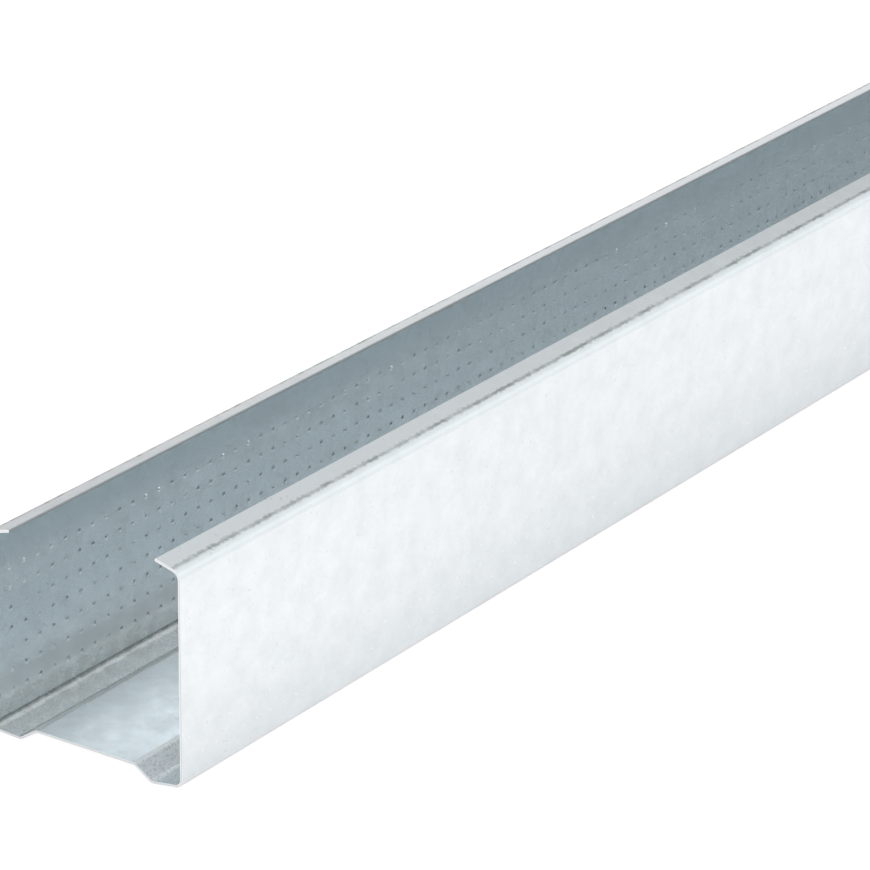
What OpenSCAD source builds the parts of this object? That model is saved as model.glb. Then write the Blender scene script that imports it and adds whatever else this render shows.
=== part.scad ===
// Light-gauge steel wall stud: one cold-rolled C channel, lying on its web.
// X runs along the stud, Y across the web and Z up through the open side.
// The origin is the middle of the footprint, on the lowest line of the web.

/* [Stud] */
// Length as sold
length = 2600; // [300:50:4000]
// Thickness of the galvanised sheet
sheet = 0.6; // [0.5:0.1:1]
// Overall width across the web
web_w = 48.8; // [40:0.1:150]

/* [Web] */
// Width of the sloping foot beside each flange
foot_w = 7.8; // [5:0.1:10]
// How far the foot beside the taller flange falls to its inner edge
tall_foot_fall = 1.2; // [0:0.1:2]
// How far the foot beside the shorter flange falls to its inner edge
short_foot_fall = 0.4; // [0:0.1:2]
// Width taken by the slope up to the raised middle
rise_w = 4.2; // [3:0.1:6]
// Height of the raised middle above the feet, on the underside
rise_h = 2.7; // [1:0.1:3.5]

/* [Flanges] */
// Height of the taller flange, to its fold
tall_flange_h = 47.5; // [35:0.1:60]
// Height of the shorter flange, to its fold
short_flange_h = 44.1; // [35:0.1:60]

/* [Lips] */
// Width of the lip folded inward from each flange
lip_w = 6.3; // [5:0.1:10]
// Upward tilt of the lips toward the open middle
lip_tilt = 15; // [0:1:25]

/* [Bends] */
// Inside radius where a flange meets the web
corner_r = 1.4; // [0.8:0.1:2]
// Inside radius where a lip leaves its flange
fold_r = 1.7; // [0.8:0.1:2.2]
// Inside radius of the small bends in the web
web_bend_r = 1.5; // [0.5:0.1:2]

/* [Hidden] */
// Flats that make up each bend
bend_steps = 8;

rise_angle = atan2(rise_h, rise_w);
// Depth of the sharp inner corner of a foot below its rounded edge, which lies on the floor
function dip(foot_angle) =
    (web_bend_r + sheet) * (cos((rise_angle - foot_angle) / 2) / cos((rise_angle + foot_angle) / 2) - 1);

// Half of the web's outer face, from its middle out to a flange, then up to
// the tip of the lip. Each corner is [y, z, inside radius of its bend].
function half_outline(flange_h, foot_fall) =
    let (corner_z = -dip(atan2(foot_fall, foot_w)))
    [
        [web_w / 2 - foot_w - rise_w, rise_h, web_bend_r],
        [web_w / 2 - foot_w, corner_z, web_bend_r],
        [web_w / 2, corner_z + foot_fall, corner_r],
        [web_w / 2, flange_h, fold_r],
        [web_w / 2 - lip_w * cos(lip_tilt), flange_h + lip_w * sin(lip_tilt), 0]
    ];

function mirrored(corners) =
    [for (i = [len(corners) - 1:-1:0]) [-corners[i][0], corners[i][1], corners[i][2]]];

outer_face = concat(
    mirrored(half_outline(tall_flange_h, tall_foot_fall)),
    half_outline(short_flange_h, short_foot_fall)
);
last = len(outer_face) - 1;

function place(corner) = [corner[0], corner[1]];
function toward(angle) = [cos(angle), sin(angle)];
function heading(i) =
    let (run = place(outer_face[i + 1]) - place(outer_face[i])) atan2(run[1], run[0]);
// Turn at a corner, from -180 to 180, positive to the left, toward the channel
function turn(i) =
    let (change = heading(i) - heading(i - 1)) change - 360 * round(change / 360);
// Radius of the outer face at a corner: the sheet lies on its left side.
function face_radius(i) = outer_face[i][2] + (turn(i) > 0 ? sheet : 0);
// Centre of a bend, square to the run before it where the bend starts
function centre(i) =
    place(outer_face[i])
    - face_radius(i) * tan(abs(turn(i)) / 2) * toward(heading(i - 1))
    + face_radius(i) * sign(turn(i)) * toward(heading(i - 1) + 90);

// Points round one bend, on the face that lies the given depth into the sheet
function bend(i, depth) =
    let (side = sign(turn(i)), radius = face_radius(i) - side * depth)
    [for (k = [0:bend_steps])
        centre(i) + radius * toward(heading(i - 1) - side * 90 + turn(i) * k / bend_steps)];

// The whole face at that depth, from the tip of one lip to the tip of the other
function face(depth) = concat(
    [place(outer_face[0]) + depth * toward(heading(0) + 90)],
    [for (i = [1:last - 1]) each bend(i, depth)],
    [place(outer_face[last]) + depth * toward(heading(last - 1) + 90)]
);
function reversed(points) = [for (i = [len(points) - 1:-1:0]) points[i]];

module section() {
    polygon(concat(face(0), reversed(face(sheet))));
}

// The rolled sheet, from one sawn end to the other
module stud() {
    color("gainsboro")
        translate([-length / 2, 0, 0]) rotate([90, 0, 90])
            linear_extrude(height = length) section();
}

stud();
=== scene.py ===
"""Looks of a drywall metal stud: galvanised sheet with knurled flanges, on a white studio floor."""

import math

import bmesh
import bpy
from bpy.props import (
    FloatProperty,
    FloatVectorProperty,
    IntProperty,
    PointerProperty,
)
from mathutils import Matrix, Vector
from mathutils.noise import cell


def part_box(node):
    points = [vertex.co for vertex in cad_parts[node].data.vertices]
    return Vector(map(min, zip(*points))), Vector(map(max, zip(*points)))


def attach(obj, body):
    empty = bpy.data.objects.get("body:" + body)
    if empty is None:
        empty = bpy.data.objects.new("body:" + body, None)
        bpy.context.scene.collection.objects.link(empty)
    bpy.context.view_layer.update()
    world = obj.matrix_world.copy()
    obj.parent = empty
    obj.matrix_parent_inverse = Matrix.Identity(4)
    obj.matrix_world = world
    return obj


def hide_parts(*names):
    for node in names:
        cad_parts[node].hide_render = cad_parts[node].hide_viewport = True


bl_info = {
    "name": "Drywall stud",
    "version": (1, 0, 0),
    "blender": (4, 5, 0),
    "location": "3D View > Sidebar > Stud",
    "description": "Rolls a galvanised wall stud with knurled flanges and lights it for a picture",
    "category": "Add Mesh",
}

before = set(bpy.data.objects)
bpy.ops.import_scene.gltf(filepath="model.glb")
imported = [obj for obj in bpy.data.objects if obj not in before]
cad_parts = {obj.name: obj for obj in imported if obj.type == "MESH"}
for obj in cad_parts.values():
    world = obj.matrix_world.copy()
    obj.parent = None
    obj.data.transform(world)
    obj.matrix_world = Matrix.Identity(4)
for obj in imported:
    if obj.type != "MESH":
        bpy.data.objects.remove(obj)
STUD_LOW, STUD_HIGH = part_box("stud")
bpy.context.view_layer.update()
WEB_HALF = STUD_HIGH.y
# Where the bend over each flange runs out into its lip
LIP_ROOT = WEB_HALF - 0.0017
# Above this height there are only folds and lips, and below the other only web and corners
FOLDS_FROM = 0.8 * STUD_HIGH.z
CORNERS_TO = 0.2 * STUD_HIGH.z
# How far out from the middle the web's raised part is flat, and where its step reaches the foot
RAISED_FLAT = 0.0112
STEP_FOOT = 0.0164
# Edges that fold more than this are shaded sharp
CREASE = math.radians(35)


class StudKnurl(bpy.types.PropertyGroup):
    """Sizes of the knurled bands rolled into the two flanges"""

    bays: IntProperty(
        name="Bays",
        description="Lengths that the plain faces are divided into",
        default=39,
    )
    columns_per_bay: IntProperty(
        name="Columns per bay",
        description="Columns of dimples in each bay",
        default=15,
    )
    row_pitch: FloatProperty(
        name="Row pitch",
        description="Distance from one row of dimples to the next",
        default=0.0045,
        unit="LENGTH",
    )
    tall_rows: IntProperty(
        name="Rows on the taller flange",
        description="Rows of dimples up the taller flange",
        default=8,
    )
    short_rows: IntProperty(
        name="Rows on the shorter flange",
        description="Rows of dimples up the shorter flange",
        default=7,
    )
    tall_lowest_row: FloatProperty(
        name="Lowest row of the taller flange",
        description="Height of its lowest row of dimples above the floor",
        default=0.0072,
        unit="LENGTH",
    )
    short_lowest_row: FloatProperty(
        name="Lowest row of the shorter flange",
        description="Height of its lowest row of dimples above the floor",
        default=0.0068,
        unit="LENGTH",
    )
    bump_radius: FloatProperty(
        name="Bump radius",
        description="Radius of a dimple where it stands out inside the channel",
        default=0.00065,
        unit="LENGTH",
    )
    pit_radius: FloatProperty(
        name="Pit radius",
        description="Radius of a dimple where it is pressed in from outside",
        default=0.00032,
        unit="LENGTH",
    )
    depth: FloatProperty(
        name="Depth",
        description="Depth of a dimple that is fully pressed",
        default=0.0003,
        unit="LENGTH",
    )
    shallowest: FloatProperty(
        name="Shallowest",
        description="Depth of the faintest dimples, as a share of the full depth",
        default=0.55,
        subtype="FACTOR",
    )
    seed: IntProperty(
        name="Seed",
        description="Which uneven pressing the dimples get",
        default=7,
    )


class StudEdges(bpy.types.PropertyGroup):
    """Sizes of the sawn ends and slit edges"""

    burr: FloatProperty(
        name="Edge rounding",
        description="Rounding of the slit edges along the lips",
        default=0.00012,
        unit="LENGTH",
    )
    # Width of the band of painted highlight round each sawn end.
    highlight_rim_width: FloatProperty(
        name="Zinc smear",
        description="Width of the bright rim that the saw draws over the ends",
        default=0.0002,
        unit="LENGTH",
    )
    core_recess: FloatProperty(
        name="Core recess",
        description="How far the steel between the rims lies back",
        default=0.00004,
        unit="LENGTH",
    )


class StudFinish(bpy.types.PropertyGroup):
    """Colours and gloss of the zinc coat and of the cut edges"""

    zinc_bright: FloatVectorProperty(
        name="Bright zinc",
        description="Colour of the brightest flakes of the coat",
        subtype="COLOR",
        default=(0.825, 0.88, 0.91),
        min=0.0,
        max=1.0,
    )
    zinc_dull: FloatVectorProperty(
        name="Dull zinc",
        description="Colour of the dullest flakes of the coat",
        subtype="COLOR",
        default=(0.765, 0.82, 0.845),
        min=0.0,
        max=1.0,
    )
    # Also the colour of the painted shade lines in the web's bends and of the painted reflection on the
    # near step.
    rubbed_and_painted_shade: FloatVectorProperty(
        name="Rubbed zinc",
        description="Colour of the worn line where the rolls rub each lip's root",
        subtype="COLOR",
        default=(0.33, 0.36, 0.355),
        min=0.0,
        max=1.0,
    )
    # Colour of blotchy staining on the inner web, laid on heavier near the walls and on the far side as
    # painted shade.
    stain_and_shade_colour: FloatVectorProperty(
        name="Tarnished zinc",
        description="Colour of the coat where it is stained in the corners of the web",
        subtype="COLOR",
        default=(0.70, 0.73, 0.725),
        min=0.0,
        max=1.0,
    )
    glossiest: FloatProperty(
        name="Glossiest",
        description="Roughness of the smoothest flakes",
        default=0.14,
        subtype="FACTOR",
    )
    dullest: FloatProperty(
        name="Dullest",
        description="Roughness of the dullest flakes",
        default=0.27,
        subtype="FACTOR",
    )
    fold: FloatProperty(
        name="Fold",
        description="Roughness of the stretched coat round the folds",
        default=0.45,
        subtype="FACTOR",
    )
    flake: FloatProperty(
        name="Flake",
        description="Size of the flakes that mottle the coat",
        default=0.0011,
        unit="LENGTH",
    )
    cloud: FloatProperty(
        name="Cloud",
        description="Size of the dull clouds in the coat",
        default=0.006,
        unit="LENGTH",
    )
    wave: FloatProperty(
        name="Wave",
        description="Length of the slight waves in the sheet",
        default=0.045,
        unit="LENGTH",
    )
    # Painted highlight: the rims round the sawn ends are coloured brighter than the zinc, where their
    # edges catch the light.
    cut_edge_highlight: FloatVectorProperty(
        name="Cut rim",
        description="Colour of the smeared rims of the sawn ends",
        subtype="COLOR",
        default=(0.93, 0.965, 0.985),
        min=0.0,
        max=1.0,
    )
    cut_core: FloatVectorProperty(
        name="Cut core",
        description="Colour of the bare steel in the middle of the sawn ends",
        subtype="COLOR",
        default=(0.70, 0.75, 0.78),
        min=0.0,
        max=1.0,
    )
    slit: FloatVectorProperty(
        name="Slit edge",
        description="Colour of the narrow slit edges along the lips",
        subtype="COLOR",
        default=(0.54, 0.58, 0.59),
        min=0.0,
        max=1.0,
    )


class StudStage(bpy.types.PropertyGroup):
    """Where the camera stands and what it looks at"""

    view_azimuth: FloatProperty(
        name="View azimuth",
        description="Angle of the line of sight from the stud's length, in plan",
        default=math.radians(34.27),
        subtype="ANGLE",
    )
    view_elevation: FloatProperty(
        name="View elevation",
        description="How steeply the camera looks down",
        default=math.radians(22.51),
        subtype="ANGLE",
    )
    view_roll: FloatProperty(
        name="View roll",
        description="Tilt of the camera about its line of sight",
        default=math.radians(0.63),
        subtype="ANGLE",
    )
    view_distance: FloatProperty(
        name="View distance",
        description="Distance from the camera to the point it looks at",
        default=0.956,
        unit="LENGTH",
    )
    aim_from_end: FloatProperty(
        name="Aim from the end",
        description="How far in from the near end the camera looks at the taller flange",
        default=0.0867,
        unit="LENGTH",
    )
    aim_height: FloatProperty(
        name="Aim height",
        description="Height of the point that the camera looks at",
        default=0.0473,
        unit="LENGTH",
    )
    lens: FloatProperty(
        name="Lens",
        description="Focal length in millimetres",
        default=191.0,
    )


# ------------------------------------------------------------------ materials


def node(tree, kind, sockets, **settings):
    """A new node with its settings, and its sockets set to values or joined to other outputs"""
    made = tree.nodes.new(kind)
    for name, value in settings.items():
        setattr(made, name, value)
    for name, value in sockets.items():
        socket = made.inputs[name]
        if isinstance(value, bpy.types.NodeSocket):
            tree.links.new(value, socket)
        else:
            socket.default_value = (*value, 1) if socket.type == "RGBA" else value
    return made


def blotches(tree, place, size, detail=2.0):
    """Values from 0 to 1 in blotches of about the given size"""
    sockets = {"Vector": place, "Scale": 1 / size, "Detail": detail, "Roughness": 0.55}
    return node(tree, "ShaderNodeTexNoise", sockets).outputs["Fac"]


def ranged(tree, value, start, end, low, high):
    """The value carried over from one range to another, and held inside it"""
    sockets = {"Value": value, "From Min": start, "From Max": end, "To Min": low, "To Max": high}
    return node(tree, "ShaderNodeMapRange", sockets).outputs["Result"]


def calculate(tree, operation, *values):
    """The result of one sum on values or outputs"""
    return node(tree, "ShaderNodeMath", dict(enumerate(values)), operation=operation).outputs[0]


def window(tree, *edges):
    """1 inside a region and 0 outside it, with an edge where each value goes from out to in"""
    region = 1.0
    for value, outside, inside in edges:
        share = ranged(tree, value, outside, inside, 0.0, 1.0)
        region = calculate(tree, "MULTIPLY", region, share)
    return region


def blended(tree, share, first, second):
    """One colour turning into another"""
    # Sockets 6 and 7 hold the two colours, and the third output is their blend.
    made = node(tree, "ShaderNodeMix", {0: share, 6: first, 7: second}, data_type="RGBA")
    return made.outputs[2]


def metal(name):
    """A new metal material with its tree and its shader"""
    material = bpy.data.materials.new(name)
    material.use_nodes = True
    shader = material.node_tree.nodes["Principled BSDF"]
    shader.inputs["Metallic"].default_value = 1.0
    return material, material.node_tree, shader


def upper_face(tree, axes):
    """How much the surface looks up, from 0 on a flange to 1 on a lip, high on the stud only"""
    normal = node(tree, "ShaderNodeNewGeometry", {}).outputs["Normal"]
    facing = node(tree, "ShaderNodeSeparateXYZ", {"Vector": normal}).outputs["Z"]
    high_up = calculate(tree, "GREATER_THAN", axes.outputs["Z"], FOLDS_FROM)
    return calculate(tree, "MULTIPLY", high_up, facing)


def rubbed_line(tree, place, axes):
    """How worn the coat is: a ragged line along the root of each lip, on its upper face"""
    across = calculate(tree, "ABSOLUTE", axes.outputs["Y"])
    offset = calculate(tree, "ABSOLUTE", calculate(tree, "SUBTRACT", across, LIP_ROOT - 0.0003))
    ragged = blotches(tree, place, 0.0013, detail=4)
    width = ranged(tree, ragged, 0.35, 0.65, 0.00015, 0.0008)
    line = ranged(tree, calculate(tree, "DIVIDE", offset, width), 0.3, 1.3, 1.0, 0.0)
    patchy = ranged(tree, blotches(tree, place, 0.004, detail=3), 0.35, 0.62, 0.25, 1.0)
    upward = ranged(tree, upper_face(tree, axes), 0.5, 0.6, 0.0, 1.0)
    return calculate(tree, "MULTIPLY", calculate(tree, "MULTIPLY", line, patchy), upward)


def over_fold(tree, axes):
    """Where the coat is stretched dull: 1 round the fold over each flange, 0 elsewhere"""
    upward = upper_face(tree, axes)
    past_flange = ranged(tree, upward, 0.02, 0.2, 0.0, 1.0)
    before_lip = ranged(tree, upward, 0.8, 0.96, 1.0, 0.0)
    return calculate(tree, "MULTIPLY", past_flange, before_lip)


def inside_corner(tree, place, axes):
    """Three shares: staining with painted shade over the web's corners, painted shade lines in its bends
    with a painted reflection on its near step, and how scuffed its step is
    """
    normal = node(tree, "ShaderNodeNewGeometry", {}).outputs["Normal"]
    facing = node(tree, "ShaderNodeSeparateXYZ", {"Vector": normal})
    upward = facing.outputs["Z"]
    side = calculate(tree, "SIGN", axes.outputs["Y"])
    inward = calculate(tree, "MULTIPLY", facing.outputs["Y"], calculate(tree, "MULTIPLY", side, -1.0))
    tilt = calculate(tree, "ABSOLUTE", facing.outputs["Y"])
    across = calculate(tree, "ABSOLUTE", axes.outputs["Y"])
    height = axes.outputs["Z"]
    inside = (calculate(tree, "MAXIMUM", upward, inward), 0.2, 0.5)

    # Blotchy staining low inside the channel, heavier near the walls and on the far side: partly the
    # coat's own marks, partly painted shade.
    zone = calculate(
        tree,
        "MULTIPLY",
        window(tree, inside, (height, 0.0068, 0.0052)),
        ranged(tree, across, WEB_HALF - 0.0125, WEB_HALF - 0.0115, 0.65, 1.0),
    )
    stain_and_shade_blotches = ranged(tree, blotches(tree, place, 0.0035, detail=3), 0.35, 0.65, 0.3, 1.0)
    far_more = ranged(tree, axes.outputs["Y"], -0.0125, 0.0125, 0.3, 1.0)
    stain_and_shade_blotches = calculate(tree, "MULTIPLY", stain_and_shade_blotches, far_more)
    # Painted shade: a dark line along the inner bend of each web corner, and a fainter one along the
    # bends of each step, both heavier on the far side.
    corner_line = window(
        tree,
        (across, WEB_HALF - 0.0045, WEB_HALF - 0.0035),
        (height, 0.0045, 0.004),
        (upward, 0.15, 0.3),
        (upward, 0.88, 0.78),
    )
    step = window(
        tree,
        (upward, 0.2, 0.5),
        (across, RAISED_FLAT - 0.0007, RAISED_FLAT),
        (across, STEP_FOOT + 0.0004, STEP_FOOT),
    )
    step_line = window(tree, (step, 0.0, 1.0), (tilt, 0.02, 0.06), (tilt, 0.14, 0.1))
    scuffed = window(tree, (step, 0.0, 1.0), (tilt, 0.08, 0.14))
    ragged = ranged(tree, blotches(tree, place, 0.0018, detail=3), 0.3, 0.6, 0.65, 1.0)
    ragged = calculate(tree, "MULTIPLY", ragged, far_more)
    lines = calculate(tree, "MAXIMUM", corner_line, calculate(tree, "MULTIPLY", step_line, 0.5))
    lines = calculate(tree, "MULTIPLY", lines, ragged)

    # Painted reflection: dark specks on the near step where it mirrors the dimples of the taller flange.
    near_step = window(
        tree,
        inside,
        (height, 0.0035, 0.003),
        (axes.outputs["Y"], -0.0105, -0.012),
        (axes.outputs["Y"], -0.0215, -0.0195),
    )
    painted_dimple_reflection = ranged(tree, blotches(tree, place, 0.00045, detail=3), 0.5, 0.6, 0.0, 0.4)
    painted_dimple_reflection = calculate(tree, "MULTIPLY", near_step, painted_dimple_reflection)
    stained_and_shaded = calculate(tree, "MULTIPLY", zone, stain_and_shade_blotches)
    return stained_and_shaded, calculate(tree, "MAXIMUM", lines, painted_dimple_reflection), scuffed


def galvanised_steel(finish):
    """Skin-passed zinc coat: fine flakes and dull clouds over slight waves in the sheet"""
    material, tree, shader = metal("galvanised_steel")
    place = node(tree, "ShaderNodeTexCoord", {}).outputs["Object"]
    flakes = blotches(tree, place, finish.flake, detail=4)
    clouds = blotches(tree, place, finish.cloud, detail=3)
    waves = blotches(tree, place, finish.wave, detail=1)
    axes = node(tree, "ShaderNodeSeparateXYZ", {"Vector": place})
    worn = rubbed_line(tree, place, axes)
    stretched = calculate(tree, "MULTIPLY", over_fold(tree, axes), finish.fold)

    # The second share is painted shade in the web's bends and a painted reflection on the near step.
    stained_and_shaded, painted_dark_marks, scuffed = inside_corner(tree, place, axes)
    specks = ranged(tree, blotches(tree, place, finish.flake, detail=1), 0.69, 0.75, 0.0, 0.2)
    # Darkening: random specks and the worn lip roots are the coat's own; the marks from inside_corner are
    # painted shade and a painted reflection.
    dark = calculate(tree, "MAXIMUM", specks, calculate(tree, "MAXIMUM", worn, painted_dark_marks))

    tone = calculate(tree, "MULTIPLY_ADD", flakes, 0.3, calculate(tree, "MULTIPLY", clouds, 0.7))
    brightness = ranged(tree, tone, 0.35, 0.65, 0.0, 1.0)
    coat = blended(tree, brightness, finish.zinc_dull, finish.zinc_bright)
    # Staining with painted shade in the web's corners
    coat = blended(tree, stained_and_shaded, coat, finish.stain_and_shade_colour)
    tree.links.new(blended(tree, dark, coat, finish.rubbed_and_painted_shade), shader.inputs["Base Color"])

    gloss = ranged(tree, tone, 0.35, 0.65, finish.dullest, finish.glossiest)
    dulled = calculate(tree, "MAXIMUM", calculate(tree, "MULTIPLY", worn, 0.5), stretched)
    dulled = calculate(tree, "MAXIMUM", dulled, calculate(tree, "MULTIPLY", stained_and_shaded, 0.4))
    dulled = calculate(tree, "MAXIMUM", dulled, calculate(tree, "MULTIPLY", scuffed, 0.6))
    tree.links.new(calculate(tree, "MAXIMUM", gloss, dulled), shader.inputs["Roughness"])

    long_waves = node(tree, "ShaderNodeBump", {"Height": waves, "Distance": 0.00008, "Strength": 1.0})
    fine = node(
        tree, "ShaderNodeBump",
        {"Height": flakes, "Distance": 0.000003, "Strength": 1.0, "Normal": long_waves.outputs["Normal"]},
    )
    tree.links.new(fine.outputs["Normal"], shader.inputs["Normal"])
    return material


def cut_steel(name, colour, roughness):
    """Bare cut metal with fine drag marks"""
    material, tree, shader = metal(name)
    place = node(tree, "ShaderNodeTexCoord", {}).outputs["Object"]
    drag = blotches(tree, place, 0.0004, detail=2)
    shade = [0.85 * c for c in colour]
    tree.links.new(blended(tree, drag, shade, colour), shader.inputs["Base Color"])
    shader.inputs["Roughness"].default_value = roughness
    return material


# ------------------------------------------------------------ sheet and knurl

COAT, RIM, CORE, SLIT = range(4)


def along_stud(edge):
    """Whether the edge runs along the stud's length"""
    run = edge.verts[1].co - edge.verts[0].co
    return abs(run.x) > 0.99 * run.length


def slit_faces(bm):
    """The narrow faces at the tips of the lips, which look at each other over the open side"""
    return [
        f
        for f in bm.faces
        if f.calc_center_median().z > FOLDS_FROM
        and f.normal.y * f.calc_center_median().y < 0
        and f.normal.z > 0.1
    ]


def whole_sheet(edges):
    """The rolled sheet as the frame has it, merged, with its slit edges and sawn ends finished"""
    bm = bmesh.new()
    bm.from_mesh(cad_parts["stud"].data)
    bmesh.ops.remove_doubles(bm, verts=bm.verts, dist=1e-6)
    bmesh.ops.dissolve_limit(bm, angle_limit=math.radians(0.5), verts=bm.verts, edges=bm.edges)
    slits = slit_faces(bm)
    for face in slits:
        face.material_index = SLIT
    bmesh.ops.bevel(
        bm,
        geom=[e for f in slits for e in f.edges if along_stud(e)],
        offset=edges.burr,
        segments=2,
        profile=0.5,
        affect="EDGES",
        material=SLIT,
    )
    ends = [f for f in bm.faces if abs(f.normal.x) > 0.99]
    for face in ends:
        face.material_index = RIM
    # The rim left round each sawn end takes the bright cut material, a painted highlight; the core inside
    # it takes the bare steel.
    bmesh.ops.inset_region(
        bm,
        faces=ends,
        thickness=edges.highlight_rim_width,
        depth=-edges.core_recess,
        use_even_offset=True,
        use_boundary=True,
    )
    for face in ends:
        face.material_index = CORE
    return bm


def keep_side(bm, side):
    """Cuts the sheet along the web's middle line and closes the side that is kept"""
    cut = bmesh.ops.bisect_plane(
        bm,
        geom=bm.verts[:] + bm.edges[:] + bm.faces[:],
        plane_co=(0, 0, 0),
        plane_no=(0, -side, 0),
        clear_outer=True,
    )
    rim = [e for e in cut["geom_cut"] if isinstance(e, bmesh.types.BMEdge)]
    bmesh.ops.edgeloop_fill(bm, edges=rim)
    bmesh.ops.recalc_face_normals(bm, faces=bm.faces)


def flange_faces(bm, low, high):
    """The flange's flat faces, inside and out, whose middles lie between two heights"""
    return [
        f
        for f in bm.faces
        if abs(f.normal.y) > 0.99
        and abs(f.calc_center_median().y) > WEB_HALF / 2
        and low < f.calc_center_median().z < high
    ]


def edges_of(faces):
    """Each edge of the faces once, in the same order on every run"""
    return list(dict.fromkeys(e for f in faces for e in f.edges))


def knurl(bm, rows, lowest_row, sizes):
    """Presses rows of dimples into the flange, as pits outside and bumps inside"""
    low = lowest_row - sizes.row_pitch / 2
    high = low + rows * sizes.row_pitch
    for level in (low, high):
        for face in flange_faces(bm, CORNERS_TO, FOLDS_FROM):
            bmesh.ops.bisect_plane(
                bm,
                geom=[face, *face.edges, *face.verts],
                plane_co=(0, 0, level),
                plane_no=(0, 0, 1),
            )
    lengthwise = [e for e in bm.edges if along_stud(e)]
    bmesh.ops.subdivide_edges(bm, edges=lengthwise, cuts=sizes.bays - 1, use_grid_fill=True)
    band_rims = [e for e in edges_of(flange_faces(bm, low, high)) if along_stud(e)]
    bmesh.ops.subdivide_edges(
        bm, edges=band_rims, cuts=sizes.columns_per_bay - 1, use_grid_fill=True
    )
    uprights = [e for e in edges_of(flange_faces(bm, low, high)) if not along_stud(e)]
    bmesh.ops.subdivide_edges(bm, edges=uprights, cuts=rows - 1, use_grid_fill=True)

    cells = flange_faces(bm, low, high)
    inward = Vector((0, -math.copysign(1, cells[0].calc_center_median().y), 0))
    column_pitch = (STUD_HIGH.x - STUD_LOW.x) / (sizes.bays * sizes.columns_per_bay)
    half_cell = min(column_pitch, sizes.row_pitch) / 2
    bumps = [f for f in cells if f.normal.dot(inward) > 0]
    pits = [f for f in cells if f.normal.dot(inward) < 0]
    for bases, radius, faceted in (
        (bumps, sizes.bump_radius, True),
        (pits, sizes.pit_radius, False),
    ):
        bmesh.ops.inset_individual(bm, faces=bases, thickness=half_cell - radius)
        bmesh.ops.subdivide_edges(bm, edges=edges_of(bases), cuts=1)
        for face in bases:
            centre = face.calc_center_median()
            for vertex in face.verts:
                vertex.co = centre + radius * (vertex.co - centre).normalized()
            for edge in face.edges:
                edge.smooth = False
        for tip in bmesh.ops.poke(bm, faces=bases)["verts"]:
            column = (tip.co.x - STUD_LOW.x) / column_pitch
            row = (tip.co.z - low) / sizes.row_pitch
            pressed = (cell(Vector((column, row, sizes.seed))) + 1) / 2
            depth = sizes.depth * (sizes.shallowest + (1 - sizes.shallowest) * pressed)
            tip.co += depth * inward
            if faceted:
                tip.co.z += 0.1 * radius
            for edge in tip.link_edges:
                edge.smooth = not faceted


def sharpen(bm, angle):
    """Marks the edges that fold more than the angle"""
    for edge in bm.edges:
        if len(edge.link_faces) == 2 and edge.calc_face_angle() > angle:
            edge.smooth = False


class STUD_OT_roll_sheet(bpy.types.Operator):
    """Roll the stud's sheet as two halves that meet in the middle of the web"""

    bl_idname = "stud.roll_sheet"
    bl_label = "Roll sheet"

    def execute(self, context):
        scene = context.scene
        sizes, finish = scene.stud_knurl, scene.stud_finish
        metals = (
            galvanised_steel(finish),
            # The rim material is painted highlight.
            cut_steel("cut_rim", finish.cut_edge_highlight, 0.3),
            cut_steel("cut_core", finish.cut_core, 0.45),
            cut_steel("slit_edge", finish.slit, 0.5),
        )
        for name, side, rows, lowest_row in (
            ("stud_tall_side", -1, sizes.tall_rows, sizes.tall_lowest_row),
            ("stud_short_side", 1, sizes.short_rows, sizes.short_lowest_row),
        ):
            bm = whole_sheet(scene.stud_edges)
            keep_side(bm, side)
            knurl(bm, rows, lowest_row, sizes)
            for face in bm.faces:
                face.smooth = True
            sharpen(bm, CREASE)
            mesh = bpy.data.meshes.new(name)
            bm.to_mesh(mesh)
            bm.free()
            for material in metals:
                mesh.materials.append(material)
            piece = bpy.data.objects.new(name, mesh)
            scene.collection.objects.link(piece)
            weighted = piece.modifiers.new("even_shading", "WEIGHTED_NORMAL")
            weighted.keep_sharp = True
            weighted.weight = 100
            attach(piece, "root")
            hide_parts("stud")
        return {"FINISHED"}


# ---------------------------------------------------------------------- stage


def glow_with_painted_shadow(tree):
    """How much of the floor's glow the metal sees: less close to the stud, a painted contact shadow, and
    less further along it from the near end, painted shade
    """
    place = node(tree, "ShaderNodeTexCoord", {}).outputs["Object"]
    axes = node(tree, "ShaderNodeSeparateXYZ", {"Vector": place})
    gap = calculate(tree, "SUBTRACT", calculate(tree, "ABSOLUTE", axes.outputs["Y"]), WEB_HALF)
    along = ranged(tree, axes.outputs["X"], STUD_LOW.x, STUD_LOW.x + 0.2, 1.0, 0.6)
    away = ranged(tree, gap, 0.0, 0.03, 0.27, 0.6)
    return calculate(tree, "MULTIPLY", away, along)


def white_to_the_eye(name, shade, tint, strength, to_camera):
    """Plain pale floor that keeps part of the shadow and shows white to the camera"""
    material = bpy.data.materials.new(name)
    material.use_nodes = True
    tree = material.node_tree
    tree.nodes.clear()
    diffuse = node(tree, "ShaderNodeBsdfDiffuse", {"Color": shade})
    glow = node(tree, "ShaderNodeEmission", {"Color": tint, "Strength": strength})
    path = node(tree, "ShaderNodeLightPath", {})
    eye = calculate(tree, "MULTIPLY", path.outputs["Is Camera Ray"], to_camera)
    # Glossy rays see less glow near the stud and further along it: painted shadow in the metal's
    # reflection of the floor.
    metal_sees = calculate(tree, "MULTIPLY", path.outputs["Is Glossy Ray"], glow_with_painted_shadow(tree))
    share = calculate(tree, "MAXIMUM", eye, metal_sees)
    seen = node(tree, "ShaderNodeMixShader", {0: share, 1: diffuse.outputs[0], 2: glow.outputs[0]})
    node(tree, "ShaderNodeOutputMaterial", {"Surface": seen.outputs[0]})
    return material


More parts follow.
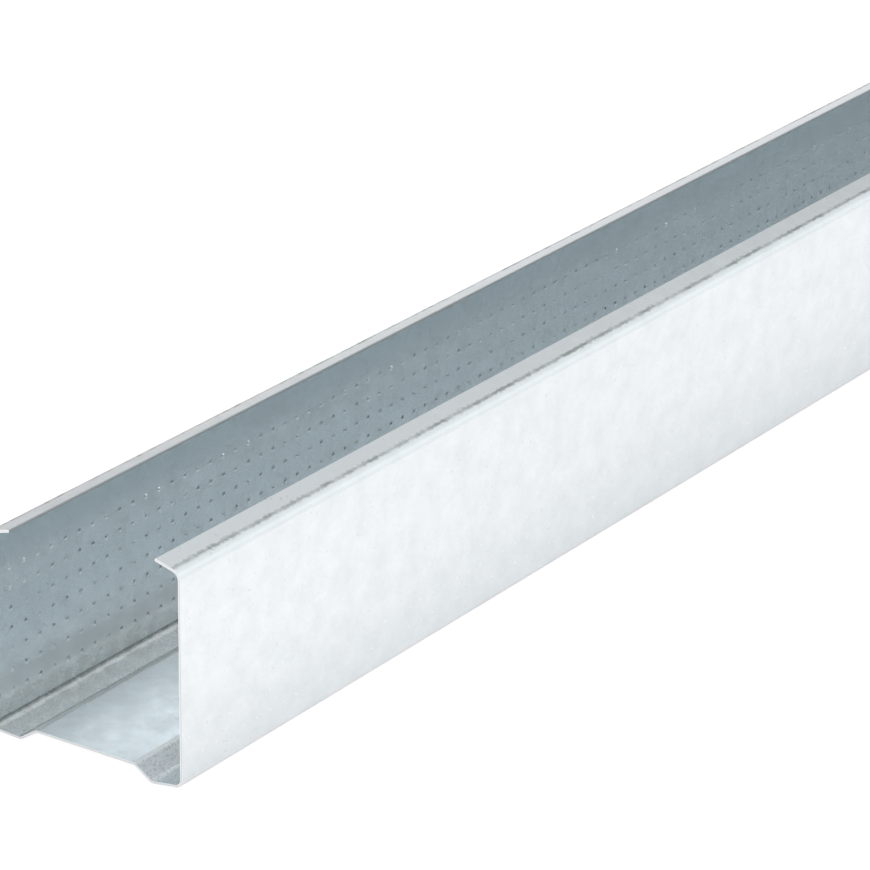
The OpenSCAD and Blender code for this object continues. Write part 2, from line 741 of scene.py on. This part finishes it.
def floor():
    """Level floor that runs out past the edges of any view"""
    bm = bmesh.new()
    bmesh.ops.create_grid(bm, x_segments=1, y_segments=1, size=60)
    mesh = bpy.data.meshes.new("studio_floor")
    bm.to_mesh(mesh)
    bm.free()
    shade, tint = (0.93, 0.905, 0.9), (1.0, 0.97, 0.965)
    mesh.materials.append(white_to_the_eye("floor_white", shade, tint, 1.25, 0.75))
    plane = bpy.data.objects.new("studio_floor", mesh)
    bpy.context.scene.collection.objects.link(plane)


def soft_lamp(name, place, target, size, watts):
    """Rectangular lamp turned toward its target, and hidden from the camera"""
    data = bpy.data.lights.new(name, "AREA")
    data.shape = "RECTANGLE"
    data.size, data.size_y = size
    data.energy = watts
    lamp = bpy.data.objects.new(name, data)
    lamp.visible_camera = False
    lamp.location = place
    lamp.rotation_euler = (Vector(target) - Vector(place)).to_track_quat("-Z", "Y").to_euler()
    bpy.context.scene.collection.objects.link(lamp)


def tent():
    """White tent, brighter beside the camera and dimmer ahead of it, and plain white when looked at"""
    world = bpy.data.worlds.new("tent")
    bpy.context.scene.world = world
    world.use_nodes = True
    tree = world.node_tree
    direction = node(tree, "ShaderNodeTexCoord", {}).outputs["Generated"]
    axes = node(tree, "ShaderNodeSeparateXYZ", {"Vector": direction})
    forward, aside, up = (axes.outputs[axis] for axis in "XYZ")
    leaning = calculate(tree, "MULTIPLY_ADD", up, 0.4, aside)
    ahead = (
        (aside, -0.45, -0.25),
        (leaning, 0.7, 0.6),
        (up, 0.12, 0.26),
        (forward, -0.1, 0.1),
    )
    # Each patch adds its gain to the tent: a bright panel beside the camera, a dim ceiling ahead,
    # a dim opening below it, a dim wall past the shorter flange, and a dim strip low ahead.
    patches = (
        (0.36, window(tree, (aside, -0.25, -0.45), (up, 0.12, 0.26), (up, 0.65, 0.5))),
        (-0.22, window(tree, *ahead, (aside, 0.0, 0.2), (aside, 0.42, 0.3), (up, 0.85, 0.65))),
        (-0.4, window(tree, *ahead, (up, 0.52, 0.38))),
        (-0.35, window(tree, (aside, 0.62, 0.8), (up, 0.65, 0.5))),
        (-0.2, window(tree, (aside, 0.45, 0.6), (up, 0.16, 0.1), (forward, 0.3, 0.5))),
    )
    strength = 0.92
    for gain, patch in patches:
        strength = calculate(tree, "MULTIPLY_ADD", patch, gain, strength)
    light = node(tree, "ShaderNodeBackground", {"Color": (1, 1, 1), "Strength": strength})
    white = node(tree, "ShaderNodeBackground", {"Color": (1, 1, 1), "Strength": 1.0})
    seen = node(tree, "ShaderNodeLightPath", {}).outputs["Is Camera Ray"]
    either = node(tree, "ShaderNodeMixShader", {0: seen, 1: light.outputs[0], 2: white.outputs[0]})
    tree.links.new(either.outputs[0], tree.nodes["World Output"].inputs["Surface"])


class STUD_OT_stage(bpy.types.Operator):
    """Set the floor, the tent, the lamp and the camera"""

    bl_idname = "stud.stage"
    bl_label = "Stage"

    def execute(self, context):
        stage = context.scene.stud_stage
        floor()
        tent()
        end = STUD_LOW.x
        near_end = (end + 0.1, 0, 0)
        soft_lamp("softbox_top", (end, 0.8, 3.0), near_end, (2.8, 2.8), 21)
        sight = Vector(
            (
                math.cos(stage.view_azimuth) * math.cos(stage.view_elevation),
                math.sin(stage.view_azimuth) * math.cos(stage.view_elevation),
                -math.sin(stage.view_elevation),
            )
        )
        aim = Vector((end + stage.aim_from_end, -WEB_HALF, stage.aim_height))
        data = bpy.data.cameras.new("camera")
        data.lens = stage.lens
        data.sensor_width = 36
        data.clip_start, data.clip_end = 0.01, 200
        camera = bpy.data.objects.new("camera", data)
        turn = sight.to_track_quat("-Z", "Y").to_matrix().to_4x4()
        camera.matrix_world = (
            Matrix.Translation(aim - stage.view_distance * sight)
            @ turn
            @ Matrix.Rotation(stage.view_roll, 4, "Z")
        )
        context.scene.collection.objects.link(camera)
        context.scene.camera = camera
        context.scene.view_settings.view_transform = "Standard"
        return {"FINISHED"}


class STUD_PT_panel(bpy.types.Panel):
    """Buttons that build the stud and its stage"""

    bl_idname = "STUD_PT_panel"
    bl_label = "Drywall stud"
    bl_space_type = "VIEW_3D"
    bl_region_type = "UI"
    bl_category = "Stud"

    def draw(self, context):
        column = self.layout.column()
        column.operator("stud.roll_sheet")
        column.operator("stud.stage")


CLASSES = (
    StudKnurl,
    StudEdges,
    StudFinish,
    StudStage,
    STUD_OT_roll_sheet,
    STUD_OT_stage,
    STUD_PT_panel,
)


def register():
    for cls in CLASSES:
        bpy.utils.register_class(cls)
    bpy.types.Scene.stud_knurl = PointerProperty(type=StudKnurl)
    bpy.types.Scene.stud_edges = PointerProperty(type=StudEdges)
    bpy.types.Scene.stud_finish = PointerProperty(type=StudFinish)
    bpy.types.Scene.stud_stage = PointerProperty(type=StudStage)


def unregister():
    del bpy.types.Scene.stud_stage
    del bpy.types.Scene.stud_finish
    del bpy.types.Scene.stud_edges
    del bpy.types.Scene.stud_knurl
    for cls in reversed(CLASSES):
        bpy.utils.unregister_class(cls)


def main():
    register()
    bpy.ops.stud.roll_sheet()
    bpy.ops.stud.stage()


if __name__ == "__main__":
    main()
